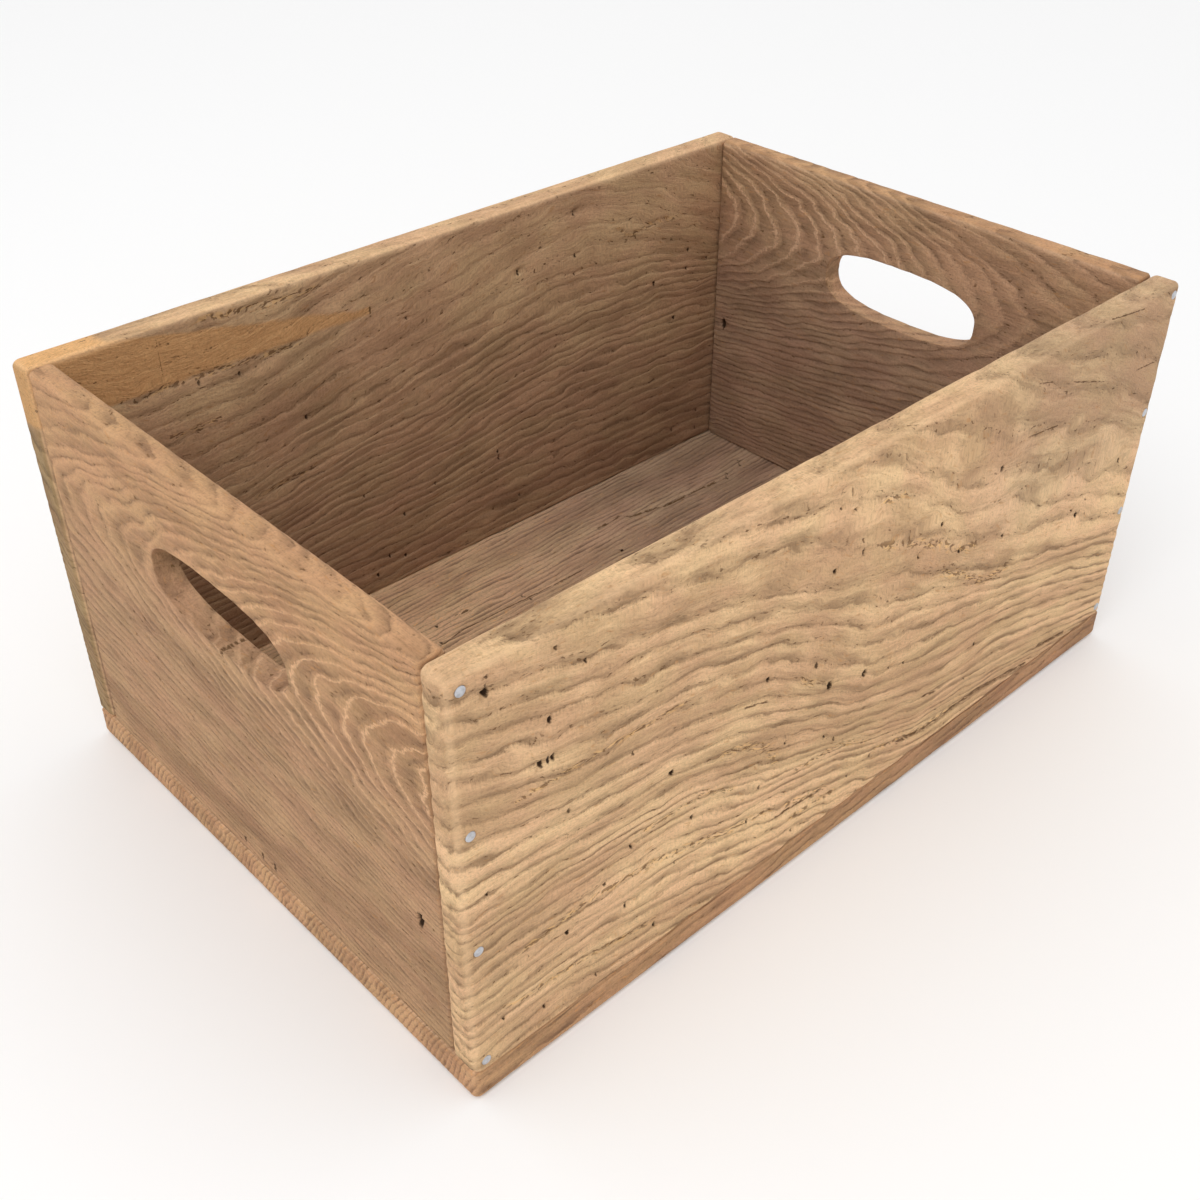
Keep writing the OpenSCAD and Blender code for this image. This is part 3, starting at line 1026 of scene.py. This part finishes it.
def finish_board(shell, look, pocket):
    """Sinks the relief and the marks into a board's surface and makes its mesh."""
    board = shell.board
    gather_at_holes(shell, look.holes, *look.shown)
    a, w, d = board.own(shell.points)
    shown = shell.lean_to(*look.shown) > 0.3
    shown |= shell.in_slot > 0
    across, ring = look.grain(a, w, d)
    ragged = cloud(a, w, d, (5, 2.5, 5), look.seed + 1, octaves=2)
    strength = 0.65 + 0.35 * cloud(a, w, d, (90, 40, 20), look.seed)
    fine = (1 + cloud(a, across, d, (40, 3.2, 6), look.seed + 2)) / 2
    lines = look.line_strength(a, w) if look.line_strength else np.ones(len(a))
    sunk = look.relief * strength * lines * (1 - ring_height(ring)) + look.ripple * fine
    chewed = np.zeros(len(a))
    for half_width, points in look.rows:
        near = 1 - ease(segment_distance(a, w, points), 0.3 * half_width, 1.7 * half_width)
        chewed = np.maximum(chewed, near * shown)
    sunk += 0.7 * chewed * ease(ragged, -0.2, 0.6)
    bare = look.fresh(a, w, d) if look.fresh else np.zeros(len(a))
    sunk = sunk * (1 - 0.85 * bare) + 0.25 * bare
    if pocket.any():
        sunk *= ease(pocket, 0.5, 0.0)
    hole_depth, hole = hole_marks(a, w, look.holes, look.squash, shown)
    crack_depth, crack = crack_marks(a, w, look.cracks, ragged, shown)
    sunk = np.maximum.reduce([sunk, pocket, sunk + crack_depth, hole_depth])
    stain = np.zeros(len(a))
    for centre_a, centre_w, half_a, half_w, level in look.stains:
        reach = np.hypot((a - centre_a) / half_a, (w - centre_w) / half_w) + 0.2 * ragged
        stain = np.maximum(stain, level * (1 - ease(reach, 0.65, 1.1)) * shown)
    for centre_a, half_a, level in look.slot_streaks:
        stain += shell.in_slot * level * (1 - ease(np.abs(a - centre_a) / half_a, 0.3, 1.2))
    attributes = {
        "grain": np.stack([a, across, d], axis=1),
        "ring": ring,
        "tone": cloud(a, across, d, (150, 22, 30), look.seed + 3) - stain,
        "hole": hole,
        "crack": crack,
        "worn": shell.edge_wear(),
        "chewed": chewed,
        "lines": lines,
        "pale": look.pale(a, w) if look.pale else np.zeros(len(a)),
        "fresh": bare,
        "tint_and_painted_shading": look.tint_and_painted_shading(shell, a, w, d),
    }
    points = shell.points - shell.normals * sunk[:, None]
    add_piece(board.node + "_wood", points, shell.quads, look.material, attributes, board.node)


def mixed(share, first, second):
    """A row of three between first and second for each share."""
    return np.outer(1 - share, first) + np.outer(share, second)


def laid_over(share, under, over):
    """Tints under, with tints over on top of them in the given shares."""
    return (1 - share) * under + share * over


def side_tint_and_painted_shade(shell, a, w, d):
    """The inside of a side board is painted darker, and more so further down, as painted shade. The front's
    upper right is greyer.
    """
    inward = HIGH if shell.board.low[Y] < 0 else LOW
    # Painted shade: the inside face is darkened, more so further down
    inner_tint_and_painted_shading = mixed(ease(w, 10, 190), (0.71, 0.70, 0.72), (0.52, 0.50, 0.54))
    inside = shell.facing(Y, inward)[:, None]
    if inward == HIGH:
        outer = mixed(ease(a, 290, 390) * (1 - ease(w, 75, 125)), (1.0, 1.0, 1.0), (0.84, 0.85, 0.88))
        return laid_over(inside, outer, inner_tint_and_painted_shading)
    # The back board's left end is grey below the fresh wood
    left = shell.facing(X, LOW)[:, None]
    end = mixed(ease(w, 30, 38), (0.73, 0.72, 0.70), (0.48, 0.48, 0.43))
    return laid_over(inside, laid_over(left, 1, end), inner_tint_and_painted_shading)


def end_tint_and_painted_shade(shell, a, w, d):
    inward = HIGH if shell.board.low[X] < 0 else LOW
    outer = mixed(ease(w, 20, 120), (1.06, 1.01, 0.93), (0.92, 0.91, 0.90))
    # Painted shade: the inside face is painted darker further down
    inner_tint_and_painted_shading = mixed(ease(w, 10, 120), (1.05, 1.09, 1.15), (0.78, 0.83, 0.98))
    return laid_over(shell.facing(X, inward)[:, None], outer, inner_tint_and_painted_shading)


def bottom_tint_and_painted_light(shell, a, w, d):
    """The bottom board is greyer inside the crate and painted much lighter there, most near the left end, as
    painted light against the walls' shade. It is redder round its edges.
    """
    # Painted light: the inside is lightened, most of all towards the left end
    inner_tint_and_painted_shading = mixed(ease(a, 150, 420), (1.82, 1.93, 1.96), (1.24, 1.37, 1.57))
    inside = shell.facing(Z, HIGH)[:, None]
    ends = np.maximum(shell.facing(X, LOW), shell.facing(X, HIGH))[:, None]
    edges = mixed(ease(a, 100, 400), (1.27, 1.20, 1.06), (1.10, 1.02, 0.92))
    return laid_over(inside, laid_over(ends, edges, (1.45, 1.38, 1.26)), inner_tint_and_painted_shading)


def spans(places, first, last, step):
    """Grid stops with fine lines round each place."""
    stops = [(first, step)]
    for place in sorted(places):
        start = max(first, place - NAIL_SPAN)
        end = min(last, place + NAIL_SPAN)
        if start <= stops[-1][0] + 0.01:
            stops.pop()
        stops.append((start, NAIL_STEP))
        if end < last - 0.01:
            stops.append((end, step))
    return stops


def plain_stops(board, axis, soft, step):
    return [(board.low[axis] + soft[axis][LOW], step)]


def make_side(node, look):
    board = BOARDS[node]
    soft = ((END_EDGE, END_EDGE), (FREE_EDGE, FREE_EDGE), (JOINT_EDGE, FREE_EDGE))
    nails = [nail for nail in NAILS if nail.node.startswith(node.replace("side", "")) and nail.axis == Y]
    stops = {Y: plain_stops(board, Y, soft, THICKNESS_STEP)}
    for axis, step in ((X, SIDE_STEP[0]), (Z, SIDE_STEP[1])):
        places = {round(nail.head[axis], 2) for nail in nails}
        first, last = board.low[axis] + soft[axis][LOW], board.high[axis] - soft[axis][HIGH]
        stops[axis] = spans(places, first, last, step)
    shell = Shell(board, soft, stops)
    pocket = pockets(shell, nails, Y)
    shell.lift_corners(X)
    finish_board(shell, look, pocket)


def slot_outline(turn, half):
    """A point of the hand slot's outline, of the given half sizes, and the outward direction there."""
    cosine, sine = np.cos(turn), np.sin(turn)
    power = 2 / SLOT_SQUARENESS
    signs = np.stack([np.sign(cosine), np.sign(sine)], axis=-1)
    shares = np.stack([np.abs(cosine) ** power, np.abs(sine) ** power], axis=-1)
    outward = signs * shares ** (SLOT_SQUARENESS - 1) / half
    return signs * shares * half, outward / np.linalg.norm(outward, axis=-1, keepdims=True)


def open_slot(shell, centre, half):
    """Bends the grid round the hand slot, opens it and lines it with a wall whose edges are softened."""
    reach = half + SLOT_FILLET
    inside = np.zeros(len(shell.points), bool)
    loops = []
    for side in (LOW, HIGH):
        flat = np.nonzero(shell.flat_on(X, side))[0]
        places = (shell.points[np.ix_(flat, [Y, Z])] - centre) / reach
        square = np.abs(places).max(axis=1)
        inside[flat[square < 1 - 1e-6]] = True
        diagonal = (np.abs(places / np.maximum(square, 1e-9)[:, None]) ** SLOT_SQUARENESS).sum(axis=1)
        rounding = 1 - np.maximum(diagonal, 1) ** (-1 / SLOT_SQUARENESS)
        scale = 1 - rounding * (1 - ease(square, 1, SLOT_BEND))
        shell.points[np.ix_(flat, [Y, Z])] = centre + places * scale[:, None] * reach
        loop = flat[np.abs(square - 1) < 1e-6]
        turns = np.arctan2(shell.points[loop, Z] - centre[1], shell.points[loop, Y])
        loops.append(loop[np.argsort(turns)])
    first_loop, last_loop = loops
    place = shell.points[first_loop][:, [Y, Z]] - centre
    shares = np.sign(place) * np.abs(place / reach) ** (SLOT_SQUARENESS / 2)
    outline, outward = slot_outline(np.arctan2(shares[:, 1], shares[:, 0]), half)
    rows = wall_rows(shell.board.low[X], shell.board.high[X])
    start, count = len(shell.points), len(first_loop)
    points, normals = [shell.points], [shell.normals]
    for x, grow, lean in rows:
        yz = centre + outline + (place - outline) * grow
        points.append(np.column_stack([np.full(count, x), yz]))
        normals.append(np.column_stack([np.full(count, lean), -outward * math.sqrt(1 - lean * lean)]))
    bands = [first_loop] + [start + row * count + np.arange(count) for row in range(len(rows))] + [last_loop]
    walls = []
    for band, below in zip(bands, bands[1:]):
        walls.append(np.stack([band, below, np.roll(below, -1), np.roll(band, -1)], axis=-1))
    shell.quads = np.vstack([shell.quads[~inside[shell.quads].any(axis=1)], *walls])
    added = count * len(rows)
    keep = np.concatenate([~inside, np.ones(added, bool)])
    number = np.cumsum(keep) - 1
    shell.quads = number[shell.quads]
    shell.points = np.vstack(points)[keep]
    shell.normals = np.vstack(normals)[keep]
    shell.leans = np.vstack([shell.leans, np.zeros((added, 3))])[keep]
    shell.in_slot = np.concatenate([np.zeros(start), np.ones(added)])[keep]


def wall_rows(low, high):
    """Rows of the slot's wall: place through the board, growth into the fillet from 0 to 1, and lean."""
    fillet = []
    for step in range(1, FILLET_STEPS + 1):
        turn = step * math.pi / 2 / FILLET_STEPS
        fillet.append((SLOT_FILLET * (1 - math.cos(turn)), 1 - math.sin(turn), math.cos(turn)))
    rows = [(low + depth, grow, -lean) for depth, grow, lean in fillet]
    rows += [(low + depth, 0.0, 0.0) for depth in np.linspace(SLOT_FILLET, high - low - SLOT_FILLET, 7)[1:-1]]
    return rows + [(high - depth, grow, lean) for depth, grow, lean in reversed(fillet)]


def make_end(node, look):
    board = BOARDS[node]
    half_length, half_height, centre_height = SLOTS[node]
    soft = ((FREE_EDGE, FREE_EDGE), (JOINT_EDGE * 2, JOINT_EDGE * 2), (JOINT_EDGE, FREE_EDGE))
    y_reach, z_reach = half_length + SLOT_FILLET, half_height + SLOT_FILLET
    y_breaks = (board.low[Y] + soft[Y][LOW], -y_reach, y_reach)
    z_breaks = (board.low[Z] + soft[Z][LOW], centre_height - z_reach, centre_height + z_reach)
    stops = {
        X: plain_stops(board, X, soft, THICKNESS_STEP),
        Y: [(place, END_STEP[0]) for place in y_breaks],
        Z: [(place, END_STEP[1]) for place in z_breaks],
    }
    shell = Shell(board, soft, stops)
    open_slot(shell, np.array([0.0, centre_height]), np.array([half_length, half_height]))
    shell.lift_corners(Y)
    finish_board(shell, look, np.zeros(len(shell.points)))


def make_bottom(look):
    board = BOARDS["bottom_board"]
    soft = ((FREE_EDGE, FREE_EDGE), (FREE_EDGE, FREE_EDGE), (FREE_EDGE, JOINT_EDGE))
    stops = {
        X: plain_stops(board, X, soft, BOTTOM_STEP[0]),
        Y: plain_stops(board, Y, soft, BOTTOM_STEP[1]),
        Z: plain_stops(board, Z, soft, THICKNESS_STEP),
    }
    shell = Shell(board, soft, stops)
    under = np.nonzero(shell.flat_on(Z, LOW))[0]
    nails = [nail for nail in NAILS if nail.axis == Z]
    for nail in nails:
        gather_face(shell, under, [X, Y], nail.head[:2], *NAIL_GATHER)
    finish_board(shell, look, pockets(shell, nails, Z))


# ---------------------------------------------------------------- camera, light and floor

def make_camera():
    turn, rise = math.radians(CAMERA_AZIMUTH), math.radians(CAMERA_ELEVATION)
    back = Vector((math.sin(turn) * math.cos(rise), -math.cos(turn) * math.cos(rise), math.sin(rise)))
    data = bpy.data.cameras.new("camera")
    data.sensor_width = 36
    data.angle = math.radians(CAMERA_ANGLE)
    camera = put_in_scene("camera", data)
    camera.location = (Vector(CAMERA_TARGET) + back * CAMERA_DISTANCE) * MM
    camera.rotation_mode = "QUATERNION"
    roll = Quaternion((0, 0, 1), math.radians(CAMERA_ROLL))
    camera.rotation_quaternion = (-back).to_track_quat("-Z", "Y") @ roll
    bpy.context.scene.camera = camera


def floor_paint():
    tree = Tree("floor_paint")
    tree.join((0.94, 0.94, 0.94, 1), tree.shader.inputs["Base Color"])
    tree.join(0.9, tree.shader.inputs["Roughness"])
    return tree.material


def make_floor():
    size = 4.0
    mesh = bpy.data.meshes.new("floor")
    corners = [(-size, -size, 0), (size, -size, 0), (size, size, 0), (-size, size, 0)]
    mesh.from_pydata(corners, [], [(0, 1, 2, 3)])
    mesh.materials.append(floor_paint())
    floor = put_in_scene("floor", mesh)


def add_soft_light(name, location, size, power):
    data = bpy.data.lights.new(name, "AREA")
    data.shape = "DISK"
    data.size = size
    data.energy = power
    light = put_in_scene(name, data)
    light.location = location
    light.rotation_mode = "QUATERNION"
    light.rotation_quaternion = (-Vector(location)).to_track_quat("-Z", "Y")


def make_light():
    world = bpy.data.worlds.new("studio")
    world.use_nodes = True
    background = world.node_tree.nodes["Background"]
    background.inputs["Color"].default_value = (1, 1, 1, 1)
    background.inputs["Strength"].default_value = 0.95
    bpy.context.scene.world = world
    add_soft_light("key", (-1.2, -0.7, 1.9), 1.4, 12)
    bpy.context.scene.view_settings.view_transform = "Standard"


make_camera()
make_light()
make_floor()
make_side("front_side", Look(
    grain=front_grain, relief=0.78, ripple=0.3, shown=(Y, LOW), seed=101,
    material=SIDE_WOOD, slot="side_wood", tint_and_painted_shading=side_tint_and_painted_shade, line_strength=front_line_strength,
    holes=FRONT_HOLES, cracks=FRONT_CRACKS, rows=FRONT_WORN_ROWS, stains=FRONT_STAINS,
))
make_side("back_side", Look(
    grain=back_grain, relief=0.5, ripple=0.3, shown=(Y, LOW), seed=151,
    material=SIDE_WOOD, slot="side_wood", tint_and_painted_shading=side_tint_and_painted_shade, line_strength=back_line_strength,
    holes=BACK_HOLES, cracks=BACK_CRACKS, rows=BACK_WORN_ROWS, fresh=fresh_wedge,
))
make_end("left_end", Look(
    grain=left_grain, relief=0.35, ripple=0.2, shown=(X, LOW), seed=201,
    material=END_WOOD, slot="end_wood", tint_and_painted_shading=end_tint_and_painted_shade, pale=left_pale, squash=0.4,
    holes=LEFT_HOLES, cracks=LEFT_CRACKS, slot_streaks=LEFT_SLOT_STREAKS,
))
make_end("right_end", Look(
    grain=right_grain, relief=0.4, ripple=0.2, shown=(X, LOW), seed=251,
    material=END_WOOD, slot="end_wood", tint_and_painted_shading=end_tint_and_painted_shade, pale=right_pale, squash=0.4,
    holes=RIGHT_HOLES,
))
make_bottom(Look(
    grain=bottom_grain, relief=0.25, ripple=0.25, shown=(Z, HIGH), seed=301,
    material=BOTTOM_WOOD, slot="bottom_wood", tint_and_painted_shading=bottom_tint_and_painted_light,
    holes=BOTTOM_HOLES, cracks=BOTTOM_CRACKS,
))
for nail in NAILS:
    make_nail(nail)
